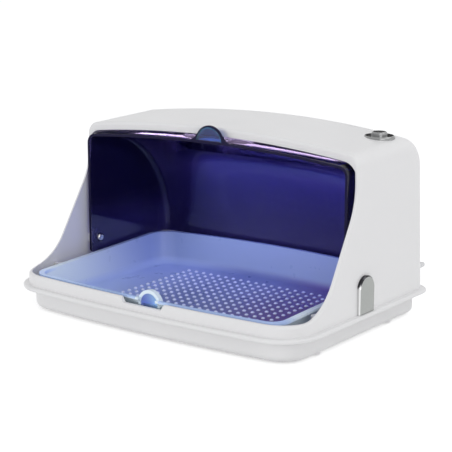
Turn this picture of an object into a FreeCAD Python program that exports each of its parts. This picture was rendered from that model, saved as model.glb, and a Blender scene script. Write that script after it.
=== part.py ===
"""Ultraviolet tool sterilizer: a white hood on a base pan, with a roll-top cover and a lift-out tray.

Millimetres. X runs to the right, Y to the back and Z up. The origin is under the middle of the base,
on the surface that the feet stand on. The cover is modelled open, the button out and the tray in.
"""
import FreeCAD, Part
import math
import os
from FreeCAD import Vector as V

# Hood: width, corner lines in plan, bows of the front and back, heights and draft
HOOD_WIDTH = 300.0
HALF = HOOD_WIDTH / 2
HOOD_FRONT = -102.5
HOOD_BACK = 102.0
FRONT_BOW = 7.0
BACK_BOW = 7.5
SEAM_Z = 24.0
SIDE_TOP_Z = 158.0
CROWN = 9.5
ROOF_SLOPE = 0.025
ROOF_LEVEL_Y = 50.0
SIDE_DRAFT = 3.5
BACK_DRAFT = 2.9
WALL = 3.0
SIDE_EDGE_R = 11.0
BACK_EDGE_R = 27.0
FRONT_CORNER_R = 31.0

# Opening of the hood: roof lip, flared side edges and front sill
LIP_Y = -8.0
LIP_DEPTH = 6.5
LIP_DROP = 8.6
LIP_CORNER_R = 14.0
FLARE_DROP = 24.0
FLARE_TOP_Z = SIDE_TOP_Z - FLARE_DROP
FLARE_SLOPE = math.radians(32.0)
FLARE_TOP_R = 60.0
FLARE_FOOT_R = 51.0
SILL_HEIGHT = 10.0
SILL_Z = SEAM_Z + SILL_HEIGHT
NOTCH_WIDTH = 46.0
NOTCH_DEPTH = 5.0
NOTCH_SLANT = 3.0
EDGE_ROUND = 2.5

# Base pan, feet and base screws
FLANGE_REACH = 5.0
FLANGE_THICK = 3.8
FLANGE_ROUND = 1.6
PAN_INSET = 5.5
PAN_WALL = 2.5
PAN_EDGE_R = 6.0
FOOT_HEIGHT = 1.5
FOOT_R = 7.0
FOOT_INSET = 42.0
FOOT_X = HALF - FOOT_INSET
FOOT_Y = 66.0
BASE_SCREW_Y = 55.0
BASE_BOSS_R = 4.0
BASE_BOSS_HEIGHT = 9.0
BASE_SCREW_SET = 3.5
BASE_RIB = 3.0
COLUMN_R = 4.6
HEAD_POCKET_GAP = 0.3
SCREW_TIP_GAP = 1.5
SCREW_R = 1.4
SCREW_HEAD_R = 2.9
SCREW_HEAD_HEIGHT = 1.8

# Cover: a shell turned about the pivot axis
PIVOT_Y = -3.0
PIVOT_RISE = 24.0
PIVOT_Z = SEAM_Z + PIVOT_RISE
COVER_SIDE_GAP = 9.0
COVER_ROOF_GAP = 9.8
COVER_HALF = HALF - COVER_SIDE_GAP
COVER_SIDE_R = SIDE_TOP_Z - PIVOT_Z - COVER_ROOF_GAP
COVER_CROWN = 7.1
COVER_WALL = 2.2
COVER_CORNER_R = 9.0
COVER_FRONT = 12.0
COVER_FRONT_LOW = 12.5
COVER_LOW = 10.5
COVER_FOOT_R = 3.0
TAB_R = 15.0
TAB_ROOT_R = 10.0
TAB_RISE = 13.8
TAB_THICK = 2.6
TAB_ROUND = 0.8

# Pivots: hood boss, washer, shoulder screw and outer cover plate
PIVOT_BOSS_R = 8.0
PIVOT_GAP = 1.2
WASHER_R = 6.0
WASHER_THICK = 1.0
SHOULDER_R = 2.5
SHANK_R = 2.0
SHANK_REACH = 5.5
HEAD_R = 3.8
HEAD_HEIGHT = 2.2
HEAD_ROUND = 1.7
HEAD_GAP = 0.2
RUN_CLEAR = 0.05
PLATE_Y = 1.0
PLATE_WIDTH = 23.5
PLATE_HEIGHT = 32.0
PLATE_PROUD = 2.6
PLATE_BEVEL = 1.0
PLATE_GAP = 0.2

# Tray
TRAY_SIDE_GAP = 16.5
TRAY_FRONT_GAP = 5.5
TRAY_BACK_GAP = 23.0
TRAY_HALF = HALF - TRAY_SIDE_GAP
TRAY_FRONT = HOOD_FRONT + TRAY_FRONT_GAP
TRAY_BACK = HOOD_BACK - TRAY_BACK_GAP
TRAY_FRONT_BOW = 6.0
TRAY_BACK_BOW = 13.0
TRAY_FRONT_R = 14.0
TRAY_BACK_R = 22.0
TRAY_DRAFT = 10.0
TRAY_FRONT_DRAFT = 15.6
TRAY_WALL = 2.0
TRAY_CLEAR = 6.0
TRAY_FILLET = 8.0
RIM_FRONT_Z = SILL_Z
RIM_RISE = 7.0
RIM_BACK_Z = RIM_FRONT_Z + RIM_RISE
RIM_REACH = 0.6
RIM_THICK = 2.0
POST_INSET = 42.0
POST_X = TRAY_HALF - POST_INSET
POST_Y = 48.0
POST_LENGTH = 24.0
POST_WIDTH = 5.0
PULL_X = 2.0
PULL_SET = 3.0
PULL_R = 12.0
PULL_BEAD = 2.8
PULL_RISE = 7.0
PULL_THICK = 4.4
PULL_DISH = 3.0
NUB_R = 2.0
NUB_HEIGHT = 1.6
NUB_PITCH = 8.75
NUB_COLUMNS = 19
NUB_ROWS = 15
NUB_Y = -5.0

# Push button, bezel and switch
BUTTON_INSET = 26.0
BUTTON_X = HALF - BUTTON_INSET
BUTTON_Y = 62.0
BEZEL_R = 13.6
BEZEL_RISE = 4.3
BEZEL_TOP_Z = SIDE_TOP_Z + BEZEL_RISE
BEZEL_ROUND = 1.4
BUTTON_R = 6.7
BUTTON_PROUD = 3.2
BUTTON_LENGTH = 9.0
BUTTON_ROUND = 1.2
BUTTON_CLEAR = 0.1
BUTTON_TRAVEL = 2.5
STEM_R = 3.0
STEM_LENGTH = 11.0
SWITCH_R = 8.5
SWITCH_LENGTH = 26.0
SWITCH_FLOOR = 5.0
SWITCH_SPARE = 0.5

# Lamp, reflector and lampholders
LAMP_BACK_GAP = 19.4
LAMP_DROP = 24.4
LAMP_Y = HOOD_BACK - LAMP_BACK_GAP
LAMP_Z = SIDE_TOP_Z - LAMP_DROP
LAMP_R = 7.75
LAMP_END_GAP = 44.0
LAMP_LENGTH = HOOD_WIDTH - 2 * LAMP_END_GAP
CAP_R = 8.0
CAP_LENGTH = 9.0
PIN_R = 1.15
PIN_LENGTH = 7.0
PIN_SPACING = 4.75
REFLECTOR_FORWARD = 7.1
REFLECTOR_UP = 1.4
REFLECTOR_Y = LAMP_Y - REFLECTOR_FORWARD
REFLECTOR_Z = LAMP_Z + REFLECTOR_UP
REFLECTOR_R = 19.0
REFLECTOR_THICK = 1.0
REFLECTOR_DROP = 7.0
HOLDER_THICK = 11.8
HOLDER_HALF = 10.0
HOLDER_GAP = 0.2
RIB_INSET = 36.0
RIB_X = LAMP_LENGTH / 2 - RIB_INSET
RIB_THICK = 2.4

# Ballast, interlock switch and terminal block
BALLAST_X = -30.0
BALLAST_LENGTH = 80.0
BALLAST_Y = 51.0
BALLAST_WIDTH = 26.0
BALLAST_DROP = 7.5
BALLAST_BASE_Z = SIDE_TOP_Z - BALLAST_DROP
BALLAST_HEIGHT = 10.0
BALLAST_SCREW_INSET = 12.0
BALLAST_SCREW_X = BALLAST_LENGTH / 2 - BALLAST_SCREW_INSET
BALLAST_BOSS_R = 4.0
BALLAST_ROUND = 2.0
INTERLOCK_INSET = 90.0
INTERLOCK_X = INTERLOCK_INSET - HALF
INTERLOCK_LENGTH = 20.0
INTERLOCK_DEPTH = 7.0
INTERLOCK_HEIGHT = 9.0
PLUNGER_R = 1.5
PLUNGER_HEIGHT = 3.0
PLUNGER_GAP = 0.4
CORD_INSET = 24.5
CORD_X = HALF - CORD_INSET
TERMINAL_SPACING = 21.5
TERMINAL_X = CORD_X - TERMINAL_SPACING
TERMINAL_LENGTH = 24.0
TERMINAL_DEPTH = 10.0
TERMINAL_GAP = 1.5
TERMINAL_HEIGHT = 10.5

# Cord, its boot and plug
CORD_R = 2.25
CORD_RISE = 7.5
CORD_Z = SEAM_Z + CORD_RISE
CORD_BEND = 0.45
BOOT_FOOT_R = 6.4
BOOT_FOOT = 2.5
BOOT_BASE_R = 5.5
BOOT_TIP_R = 3.6
BOOT_REACH = 23.0
BOOT_TIP_Y = HOOD_BACK + BOOT_REACH
NECK_R = 4.0
NECK_CLEAR = 0.1
NUT_R = 5.2
NUT_THICK = 4.0
CORD_START = 4.0
CORD_START_Y = HOOD_BACK + CORD_START
ROUTE = [
    V(CORD_X, CORD_START_Y, CORD_Z),
    V(CORD_X, 160.0, CORD_Z),
    V(82.0, 187.0, 12.0),
    V(30.0, 198.5, 3.1),
]
COIL_X = -22.0
COIL_Y = 163.0
COIL_Z = 3.1
COIL_STEP = 5.0
COIL_INNER_R = 18.0
COIL_TURNS_IN = 7
COIL_TURNS_OUT = 6
COIL_LEAD_IN = 4.5
COIL_LEAD_OUT = 37.0
TIE_WIDTH = 6.0
TIE_THICK = 0.75
TIE_GAP = 0.1
PLUG_LENGTH = 34.0
PLUG_WIDTH = 34.0
PLUG_TAIL_WIDTH = 14.0
PLUG_ROUND = 3.0
PLUG_PIN_R = 2.0
PLUG_PIN_LENGTH = 19.0
PLUG_PIN_SPACING = 19.0

# Places that follow from the sizes above
PAN_BOTTOM_Z = FOOT_HEIGHT
PAN_FLOOR_Z = PAN_BOTTOM_Z + PAN_WALL
TRAY_BASE_Z = PAN_FLOOR_Z + TRAY_CLEAR
BOSS_X = COVER_HALF + PIVOT_GAP
BASE_SCREW_X = HALF - PAN_INSET - PAN_WALL - BASE_SCREW_SET
BUTTON_TOP_Z = BEZEL_TOP_Z + BUTTON_PROUD
FAR = 2 * HOOD_WIDTH


def box(x0, x1, y0, y1, z0, z1):
    return Part.makeBox(x1 - x0, y1 - y0, z1 - z0, V(x0, y0, z0))


def cylinder_x(x0, x1, y, z, r):
    return Part.makeCylinder(r, x1 - x0, V(x0, y, z), V(1, 0, 0))


def cylinder_y(x, y0, y1, z, r):
    return Part.makeCylinder(r, y1 - y0, V(x, y0, z), V(0, 1, 0))


def cylinder_z(x, y, z0, z1, r):
    return Part.makeCylinder(r, z1 - z0, V(x, y, z0), V(0, 0, 1))


def mirrored(shape):
    return shape.mirror(V(0, 0, 0), V(1, 0, 0))


def face_of(edges):
    return Part.Face(Part.Wire([e.toShape() if hasattr(e, "toShape") else e for e in edges]))


def pick(shape, test):
    """Edges of a shape whose middle point passes a test."""
    found = []
    for edge in shape.Edges:
        middle = edge.valueAt((edge.FirstParameter + edge.LastParameter) / 2)
        if test(edge, middle):
            found.append(edge)
    return found


def upright(edge):
    return abs(edge.tangentAt(edge.FirstParameter).z) > 0.9


def level_at(z):
    return lambda edge, m: abs(m.z - z) < 0.01 and not upright(edge)


def plan_solid(half, front, front_bow, back, back_bow, front_r, back_r, z0, z1, lean=0.0):
    """A prism whose front and back are bowed in plan, with rounded corners."""
    f0, f1 = V(-half, front, z0), V(half, front, z0)
    b1, b0 = V(half, back, z0), V(-half, back, z0)
    face = face_of([
        Part.Arc(f0, V(0, front - front_bow, z0), f1),
        Part.LineSegment(f1, b1),
        Part.Arc(b1, V(0, back + back_bow, z0), b0),
        Part.LineSegment(b0, f0),
    ])
    solid = face.extrude(V(0, -lean, z1 - z0))
    middle_y = (front + back) / 2
    if front_r:
        solid = solid.makeFillet(front_r, pick(solid, lambda e, m: upright(e) and m.y < middle_y))
    if back_r:
        solid = solid.makeFillet(back_r, pick(solid, lambda e, m: upright(e) and m.y > middle_y))
    return solid


def hood_plan(inset, z0, z1, back_r):
    """A prism that follows the hood's foot, moved in by an inset, or out where it is negative."""
    return plan_solid(
        HALF - inset, HOOD_FRONT + inset, FRONT_BOW, HOOD_BACK - inset, BACK_BOW,
        FRONT_CORNER_R - inset, back_r, z0, z1)


def hood_block(inset, bottom=SEAM_Z):
    """The solid inside the hood's outer surface, or inside a surface moved in by an inset."""
    side_slope = SIDE_DRAFT / (SIDE_TOP_Z - SEAM_Z)
    back_slope = BACK_DRAFT / (SIDE_TOP_Z - SEAM_Z)
    side_z = SIDE_TOP_Z - inset
    foot_x = HALF - inset + side_slope * (SEAM_Z - bottom)
    side_x = HALF - inset - side_slope * (side_z - SEAM_Z)
    start_y = 2 * HOOD_FRONT
    length = 2 * (HOOD_BACK - HOOD_FRONT)
    drop = ROOF_SLOPE * (ROOF_LEVEL_Y - start_y)
    low, high = bottom - ROOF_SLOPE * length, side_z - drop
    foot_x += side_slope * (bottom - low)
    section = face_of([
        Part.LineSegment(V(-foot_x, start_y, low), V(foot_x, start_y, low)),
        Part.LineSegment(V(foot_x, start_y, low), V(side_x, start_y, high)),
        Part.Arc(V(side_x, start_y, high), V(0, start_y, high + CROWN), V(-side_x, start_y, high)),
        Part.LineSegment(V(-side_x, start_y, high), V(-foot_x, start_y, low)),
    ])
    section = section.extrude(V(0, length, ROOF_SLOPE * length))
    top = side_z + CROWN + ROOF_SLOPE * length
    shift = back_slope * (SEAM_Z - bottom)
    plan = plan_solid(
        HALF - inset, HOOD_FRONT + inset + shift, FRONT_BOW, HOOD_BACK - inset + shift, BACK_BOW,
        FRONT_CORNER_R - inset, 0, bottom, top, back_slope * (top - bottom))
    block = section.common(plan)
    back_top = pick(block, lambda e, m: abs(m.x) < 1 and m.y > 0 and m.z > side_z)
    block = block.makeFillet(BACK_EDGE_R - inset, back_top)
    side_top = pick(block, lambda e, m: abs(abs(m.x) - side_x) < 1 and abs(m.z - side_z) < drop)
    return block.makeFillet(SIDE_EDGE_R - inset, side_top)


def flare_cut():
    """Everything in front of the hood's side edges and above its sill."""
    top_y, top_z = LIP_Y, FLARE_TOP_Z
    s, c = math.sin(FLARE_SLOPE), math.cos(FLARE_SLOPE)
    a = V(-FAR / 2, top_y - FLARE_TOP_R * (1 - c), top_z - FLARE_TOP_R * s)
    run = (a.z - SILL_Z - FLARE_FOOT_R * (1 - s)) / c
    b = V(a.x, a.y - run * s, a.z - run * c)
    foot = V(a.x, b.y - FLARE_FOOT_R * c, SILL_Z)
    half_top, half_foot = FLARE_SLOPE / 2, (FLARE_SLOPE + math.pi / 2) / 2
    a_mid = V(a.x, top_y - FLARE_TOP_R * (1 - math.cos(half_top)), top_z - FLARE_TOP_R * math.sin(half_top))
    b_mid = V(
        a.x, foot.y + FLARE_FOOT_R * math.cos(half_foot), foot.z + FLARE_FOOT_R * (1 - math.sin(half_foot)))
    start = V(a.x, top_y, top_z)
    high_start, high_front = V(a.x, top_y, FAR), V(a.x, 2 * HOOD_FRONT, FAR)
    front = V(a.x, 2 * HOOD_FRONT, SILL_Z)
    face = face_of([
        Part.LineSegment(high_start, start),
        Part.Arc(start, a_mid, a),
        Part.LineSegment(a, b),
        Part.Arc(b, b_mid, foot),
        Part.LineSegment(foot, front),
        Part.LineSegment(front, high_front),
        Part.LineSegment(high_front, high_start),
    ])
    return face.extrude(V(FAR, 0, 0))


def sill_notch():
    """The shallow dip in the sill in front of the tray's pull, with slanted ends."""
    y0 = 2 * HOOD_FRONT
    low = NOTCH_WIDTH / 2 - NOTCH_SLANT
    high = low + 2 * NOTCH_SLANT
    z0, z1 = SILL_Z - NOTCH_DEPTH, SILL_Z + NOTCH_DEPTH
    x = PULL_X
    corners = [V(x - low, y0, z0), V(x + low, y0, z0), V(x + high, y0, z1), V(x - high, y0, z1)]
    face = face_of([Part.LineSegment(a, b) for a, b in zip(corners, corners[1:] + corners[:1])])
    return face.extrude(V(0, -HOOD_FRONT, 0))


def lip(outer):
    """The thick front edge of the roof, with the rounded upper corners of the opening."""
    slope = SIDE_DRAFT / (SIDE_TOP_Z - SEAM_Z)
    half = HALF - WALL / 2 - slope * (SIDE_TOP_Z - LIP_DROP - SEAM_Z)
    low = FLARE_TOP_Z - FLARE_TOP_R
    side_z = SIDE_TOP_Z - LIP_DROP
    y0 = LIP_Y
    opening = face_of([
        Part.LineSegment(V(-half, y0, low), V(half, y0, low)),
        Part.LineSegment(V(half, y0, low), V(half, y0, side_z)),
        Part.Arc(V(half, y0, side_z), V(0, y0, side_z + CROWN), V(-half, y0, side_z)),
        Part.LineSegment(V(-half, y0, side_z), V(-half, y0, low)),
    ]).extrude(V(0, LIP_DEPTH, 0))
    corners = pick(opening, lambda e, m: abs(abs(m.x) - half) < 0.1 and abs(m.z - side_z) < 0.1)
    opening = opening.makeFillet(LIP_CORNER_R, corners)
    band = box(-FAR, FAR, LIP_Y, LIP_Y + LIP_DEPTH, FLARE_TOP_Z, FAR)
    return outer.common(band).cut(opening)


def reflector_ribs(inside):
    """Ribs in the hood's upper back corner, cut to the back of the reflector."""
    bed = cylinder_x(-FAR, FAR, REFLECTOR_Y, REFLECTOR_Z, REFLECTOR_R + REFLECTOR_THICK)
    ribs = []
    for x in (-RIB_X, RIB_X):
        slab = box(
            x - RIB_THICK / 2, x + RIB_THICK / 2, REFLECTOR_Y - REFLECTOR_DROP, FAR,
            REFLECTOR_Z - REFLECTOR_DROP, FAR)
        ribs.append(slab.common(inside).cut(bed))
    return ribs


def base_screw_places():
    return [(sx * BASE_SCREW_X, sy * BASE_SCREW_Y) for sx in (-1, 1) for sy in (-1, 1)]


def ballast_screw_places():
    return [BALLAST_X - BALLAST_SCREW_X, BALLAST_X + BALLAST_SCREW_X]


def make_hood(outer, inner, middle):
    """The moulded hood with its bosses, ribs and holes. Middle is the surface in the middle of its wall."""
    flare = flare_cut()
    blank = outer.cut(flare)
    skin = outer.Shells[0]

    def on_opening(edge, middle):
        place = Part.Vertex(middle)
        return skin.distToShape(place)[0] < 0.01 and flare.distToShape(place)[0] < 0.01

    blank = blank.makeFillet(EDGE_ROUND, pick(blank, on_opening))
    shell = blank.cut(inner)
    bosses = []
    for side in (-1, 1):
        x0, x1 = sorted((side * BOSS_X, side * HALF))
        bosses.append(cylinder_x(x0, x1, PIVOT_Y, PIVOT_Z, PIVOT_BOSS_R).common(middle))
    for x, y in base_screw_places():
        x0, x1 = sorted((x, math.copysign(HALF, x)))
        z1 = SEAM_Z + BASE_BOSS_HEIGHT
        bosses.append(cylinder_z(x, y, SEAM_Z, z1, BASE_BOSS_R))
        bosses.append(box(x0, x1, y - BASE_RIB / 2, y + BASE_RIB / 2, SEAM_Z, z1).common(middle))
    for x in ballast_screw_places():
        top = BALLAST_BASE_Z + BALLAST_HEIGHT
        bosses.append(cylinder_z(x, BALLAST_Y, top, FAR, BALLAST_BOSS_R).common(middle))
    shell = shell.fuse([lip(blank)] + bosses + reflector_ribs(middle))
    cuts = [sill_notch()]
    cuts.append(cylinder_x(-BOSS_X - SHANK_REACH, BOSS_X + SHANK_REACH, PIVOT_Y, PIVOT_Z, SHANK_R))
    for x, y in base_screw_places():
        cuts.append(cylinder_z(x, y, SEAM_Z, SEAM_Z + BASE_BOSS_HEIGHT - WALL, SCREW_R))
    for x in ballast_screw_places():
        top = BALLAST_BASE_Z + BALLAST_HEIGHT
        cuts.append(cylinder_z(x, BALLAST_Y, top, top + WALL, SCREW_R))
    cuts.append(cylinder_z(BUTTON_X, BUTTON_Y, PIVOT_Z, FAR, BUTTON_R + 2 * BUTTON_CLEAR))
    cuts.append(cylinder_y(CORD_X, 0, FAR, CORD_Z, NECK_R + NECK_CLEAR))
    return shell.cut(cuts).removeSplitter()


def make_pan():
    """The base pan with its flange, tray posts, screw columns and screw holes."""
    body = hood_plan(PAN_INSET, PAN_BOTTOM_Z, SEAM_Z, SIDE_EDGE_R - PAN_INSET / 2)
    body = body.makeFillet(PAN_EDGE_R, pick(body, level_at(PAN_BOTTOM_Z)))
    flange = hood_plan(-FLANGE_REACH, SEAM_Z - FLANGE_THICK, SEAM_Z, SIDE_EDGE_R + FLANGE_REACH)
    rims = pick(flange, level_at(SEAM_Z)) + pick(flange, level_at(SEAM_Z - FLANGE_THICK))
    flange = flange.makeFillet(FLANGE_ROUND, rims)
    hollow = hood_plan(PAN_INSET + PAN_WALL, PAN_FLOOR_Z, FAR, SIDE_EDGE_R - PAN_INSET / 2 - PAN_WALL)
    hollow = hollow.makeFillet(PAN_EDGE_R - PAN_WALL, pick(hollow, level_at(PAN_FLOOR_Z)))
    pan = body.fuse(flange).cut(hollow)
    posts = []
    for x in (-POST_X, POST_X):
        for y in (-POST_Y, POST_Y):
            posts.append(box(
                x - POST_LENGTH / 2, x + POST_LENGTH / 2, y - POST_WIDTH / 2, y + POST_WIDTH / 2,
                PAN_BOTTOM_Z + PAN_WALL / 2, TRAY_BASE_Z))
    holes = []
    for x, y in base_screw_places():
        posts.append(cylinder_z(x, y, PAN_BOTTOM_Z, SEAM_Z, COLUMN_R))
        holes.append(cylinder_z(x, y, 0, SEAM_Z + WALL, SCREW_R))
        holes.append(cylinder_z(x, y, 0, SEAM_Z - FLANGE_THICK, SCREW_HEAD_R + HEAD_POCKET_GAP))
    return pan.fuse(posts).cut(holes).removeSplitter()


def make_feet():
    feet = []
    for x in (-FOOT_X, FOOT_X):
        for y in (-FOOT_Y, FOOT_Y):
            foot = cylinder_z(x, y, 0, PAN_BOTTOM_Z, FOOT_R)
            feet.append(foot.makeFillet(FOOT_HEIGHT / 3, pick(foot, level_at(0))))
    return feet


def make_base_screws():
    """Screws up through the pan's columns into the hood's bosses."""
    under = SEAM_Z - FLANGE_THICK
    screws = []
    for x, y in base_screw_places():
        head = cylinder_z(x, y, under - SCREW_HEAD_HEIGHT, under, SCREW_HEAD_R)
        head = head.makeFillet(SCREW_HEAD_HEIGHT / 2, pick(head, level_at(under - SCREW_HEAD_HEIGHT)))
        tip = SEAM_Z + BASE_BOSS_HEIGHT - WALL - SCREW_TIP_GAP
        screws.append(head.fuse(cylinder_z(x, y, under, tip, SCREW_R)).removeSplitter())
    return screws


def cover_barrel(grow):
    """The body of revolution inside the cover's outer surface, moved out by a distance."""
    half, side = COVER_HALF + grow, COVER_SIDE_R + grow
    section = face_of([
        Part.LineSegment(V(-half, PIVOT_Y, PIVOT_Z), V(half, PIVOT_Y, PIVOT_Z)),
        Part.LineSegment(V(half, PIVOT_Y, PIVOT_Z), V(half, PIVOT_Y, PIVOT_Z + side)),
        Part.Arc(
            V(half, PIVOT_Y, PIVOT_Z + side), V(0, PIVOT_Y, PIVOT_Z + side + COVER_CROWN),
            V(-half, PIVOT_Y, PIVOT_Z + side)),
        Part.LineSegment(V(-half, PIVOT_Y, PIVOT_Z + side), V(-half, PIVOT_Y, PIVOT_Z)),
    ])
    solid = section.revolve(V(0, PIVOT_Y, PIVOT_Z), V(1, 0, 0), 360)
    rims = pick(solid, lambda e, m: abs(abs(m.x) - half) < 0.1 and e.Length > side)
    return solid.makeFillet(COVER_CORNER_R + grow, rims)


def make_cover():
    """The roll-top cover: cheeks with a rising lower edge, panel, pull tab and pivot holes."""
    front_y = PIVOT_Y - COVER_FRONT
    inside = cover_barrel(-COVER_WALL)
    mid_r = COVER_SIDE_R + COVER_CROWN
    foot_z, front_foot_z = PIVOT_Z - COVER_LOW, PIVOT_Z - COVER_FRONT_LOW
    outline = [(front_y, front_foot_z), (PIVOT_Y + mid_r, foot_z), (FAR, foot_z), (FAR, FAR), (front_y, FAR)]
    corners = [V(-FAR, y, z) for y, z in outline]
    keep = face_of([Part.LineSegment(a, b) for a, b in zip(corners, corners[1:] + corners[:1])])
    keep = keep.extrude(V(2 * FAR, 0, 0))
    foot = pick(keep, lambda e, m: abs(m.y - front_y) < 0.01 and abs(m.z - front_foot_z) < 0.01)
    keep = keep.makeFillet(COVER_FOOT_R, foot)
    shell = cover_barrel(0).cut(inside).common(keep)
    edge_z = PIVOT_Z + math.sqrt(mid_r ** 2 - COVER_FRONT ** 2)
    back_y = front_y + TAB_THICK
    tab_z = edge_z + TAB_RISE - TAB_R
    root_z = edge_z + TAB_ROOT_R
    reach = TAB_R + TAB_ROOT_R
    root_x = math.sqrt(reach ** 2 - (root_z - tab_z) ** 2)
    disc = cylinder_y(0, front_y, back_y, tab_z, TAB_R)
    disc = disc.makeFillet(TAB_ROUND, pick(disc, lambda e, m: e.Length > TAB_R * 3))
    root_top = tab_z + (root_z - tab_z) * TAB_R / reach
    root = box(-root_x, root_x, front_y, back_y, edge_z - COVER_WALL, root_top)
    root = root.cut([cylinder_y(x, front_y, back_y, root_z, TAB_ROOT_R) for x in (-root_x, root_x)])
    cover = shell.fuse([disc.cut(inside), root.cut(inside)])
    holes = cylinder_x(-FAR, FAR, PIVOT_Y, PIVOT_Z, SHOULDER_R + RUN_CLEAR)
    return cover.cut(holes).removeSplitter()


def make_pivot_screw():
    """The right pivot screw: domed head inside the cheek, shoulder in its hole, shank in the boss."""
    seat = COVER_HALF - COVER_WALL - HEAD_GAP
    head = cylinder_x(seat - HEAD_HEIGHT, seat, PIVOT_Y, PIVOT_Z, HEAD_R)
    head = head.makeFillet(HEAD_ROUND, pick(head, lambda e, m: abs(m.x - seat + HEAD_HEIGHT) < 0.01))
    shoulder = cylinder_x(seat, BOSS_X, PIVOT_Y, PIVOT_Z, SHOULDER_R)
    shank = cylinder_x(BOSS_X, BOSS_X + SHANK_REACH, PIVOT_Y, PIVOT_Z, SHANK_R)
    return head.fuse([shoulder, shank]).removeSplitter()


def make_pivot_washer():
    disc = cylinder_x(BOSS_X - WASHER_THICK, BOSS_X, PIVOT_Y, PIVOT_Z, WASHER_R)
    return disc.cut(cylinder_x(0, FAR, PIVOT_Y, PIVOT_Z, SHOULDER_R + RUN_CLEAR))


def make_pivot_plate(outer):
    """The right pivot cover: an arched plate that follows the hood's wall."""
    half = PLATE_WIDTH / 2
    foot, spring = SEAM_Z + PLATE_GAP, SEAM_Z + PLATE_HEIGHT - half
    x0 = HALF - SIDE_EDGE_R
    y0, y1 = PLATE_Y - half, PLATE_Y + half
    face = face_of([
        Part.LineSegment(V(x0, y0, foot), V(x0, y1, foot)),
        Part.LineSegment(V(x0, y1, foot), V(x0, y1, spring)),
        Part.Arc(V(x0, y1, spring), V(x0, PLATE_Y, spring + half), V(x0, y0, spring)),
        Part.LineSegment(V(x0, y0, spring), V(x0, y0, foot)),
    ])
    plate = face.extrude(V(HALF + PLATE_PROUD - x0, 0, 0))
    outside = pick(plate, lambda e, m: abs(m.x - HALF - PLATE_PROUD) < 0.01 and m.z > foot + 0.1)
    return plate.makeChamfer(PLATE_BEVEL, outside).cut(outer)


def tray_wire(inset, front_inset, wall, z):
    """The tray's outline at a height, moved in by the insets, with corners tightened by a wall."""
    plan = plan_solid(
        TRAY_HALF - inset, TRAY_FRONT + front_inset, TRAY_FRONT_BOW, TRAY_BACK - inset, TRAY_BACK_BOW,
        TRAY_FRONT_R - wall, TRAY_BACK_R - wall, z, z + 1)
    return [f for f in plan.Faces if abs(f.CenterOfMass.z - z) < 0.01][0].OuterWire


def below_rim(drop):
    """Everything under the tray's rim, which rises from front to back, lowered by a drop."""
    y0, y1 = TRAY_FRONT - TRAY_FRONT_BOW, TRAY_BACK + TRAY_BACK_BOW
    rise = (RIM_BACK_Z - RIM_FRONT_Z) / (y1 - y0)
    front, back = V(-FAR, 2 * y0, 0), V(-FAR, 2 * y1, 0)
    front_top = V(-FAR, 2 * y0, RIM_FRONT_Z - drop + rise * y0)
    back_top = V(-FAR, 2 * y1, RIM_FRONT_Z - drop + rise * (2 * y1 - y0))
    face = face_of([
        Part.LineSegment(front, back),
        Part.LineSegment(back, back_top),
        Part.LineSegment(back_top, front_top),
        Part.LineSegment(front_top, front),
    ])
    return face.extrude(V(2 * FAR, 0, 0))


def make_pull():
    """The gap in the tray's rim for a finger, and the dished half disc that stands behind it."""
    y0 = TRAY_FRONT - TRAY_FRONT_BOW + PULL_SET
    y1 = y0 + PULL_THICK
    z = RIM_FRONT_Z + PULL_RISE - PULL_R
    low = SILL_Z - NOTCH_DEPTH
    inner_r = PULL_R - PULL_BEAD
    gap = box(PULL_X - inner_r, PULL_X + inner_r, 2 * TRAY_FRONT, y1, low, FAR)
    ball_r = (inner_r ** 2 + PULL_DISH ** 2) / (2 * PULL_DISH)
    ball = Part.makeSphere(ball_r, V(PULL_X, y0 + PULL_DISH - ball_r, z))
    foot = box(-FAR, FAR, -FAR, FAR, 0, low - TRAY_WALL)
    return gap, cylinder_y(PULL_X, y0, y1, z, PULL_R).cut([ball, foot])


def make_tray():
    """The lift-out tray with its sloping rim, dotted floor and dished pull."""
    top_z = RIM_BACK_Z + RIM_THICK
    floor_z = TRAY_BASE_Z + TRAY_WALL
    past_rim = (top_z - RIM_FRONT_Z) / (RIM_FRONT_Z - TRAY_BASE_Z) * TRAY_FRONT_DRAFT
    outer = Part.makeLoft([
        tray_wire(TRAY_DRAFT, TRAY_FRONT_DRAFT, 0, TRAY_BASE_Z),
        tray_wire(0, -past_rim, 0, top_z)], True, True)
    hollow = Part.makeLoft([
        tray_wire(TRAY_DRAFT + TRAY_WALL, TRAY_FRONT_DRAFT + TRAY_WALL, TRAY_WALL, floor_z),
        tray_wire(TRAY_WALL, TRAY_WALL - past_rim, TRAY_WALL, top_z)], True, True)
    hollow = hollow.makeFillet(TRAY_FILLET, pick(hollow, level_at(floor_z)))
    rim = Part.Face(tray_wire(-RIM_REACH, -RIM_REACH, -RIM_REACH, TRAY_BASE_Z))
    rim = rim.extrude(V(0, 0, top_z - TRAY_BASE_Z))
    body = outer.common(rim).common(below_rim(0))
    body = body.fuse(rim.common(below_rim(0)).cut(below_rim(RIM_THICK))).cut(hollow)
    nub_ball = (NUB_R ** 2 + NUB_HEIGHT ** 2) / (2 * NUB_HEIGHT)
    nubs = []
    for i in range(NUB_COLUMNS):
        for j in range(NUB_ROWS):
            x = (i - (NUB_COLUMNS - 1) / 2) * NUB_PITCH
            y = NUB_Y + (j - (NUB_ROWS - 1) / 2) * NUB_PITCH
            ball = Part.makeSphere(nub_ball, V(x, y, floor_z + NUB_HEIGHT - nub_ball))
            nubs.append(ball.common(box(x - NUB_R, x + NUB_R, y - NUB_R, y + NUB_R, floor_z, FAR)))
    gap, pull = make_pull()
    return body.cut(gap).fuse(pull).removeSplitter().fuse(nubs)


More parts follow.
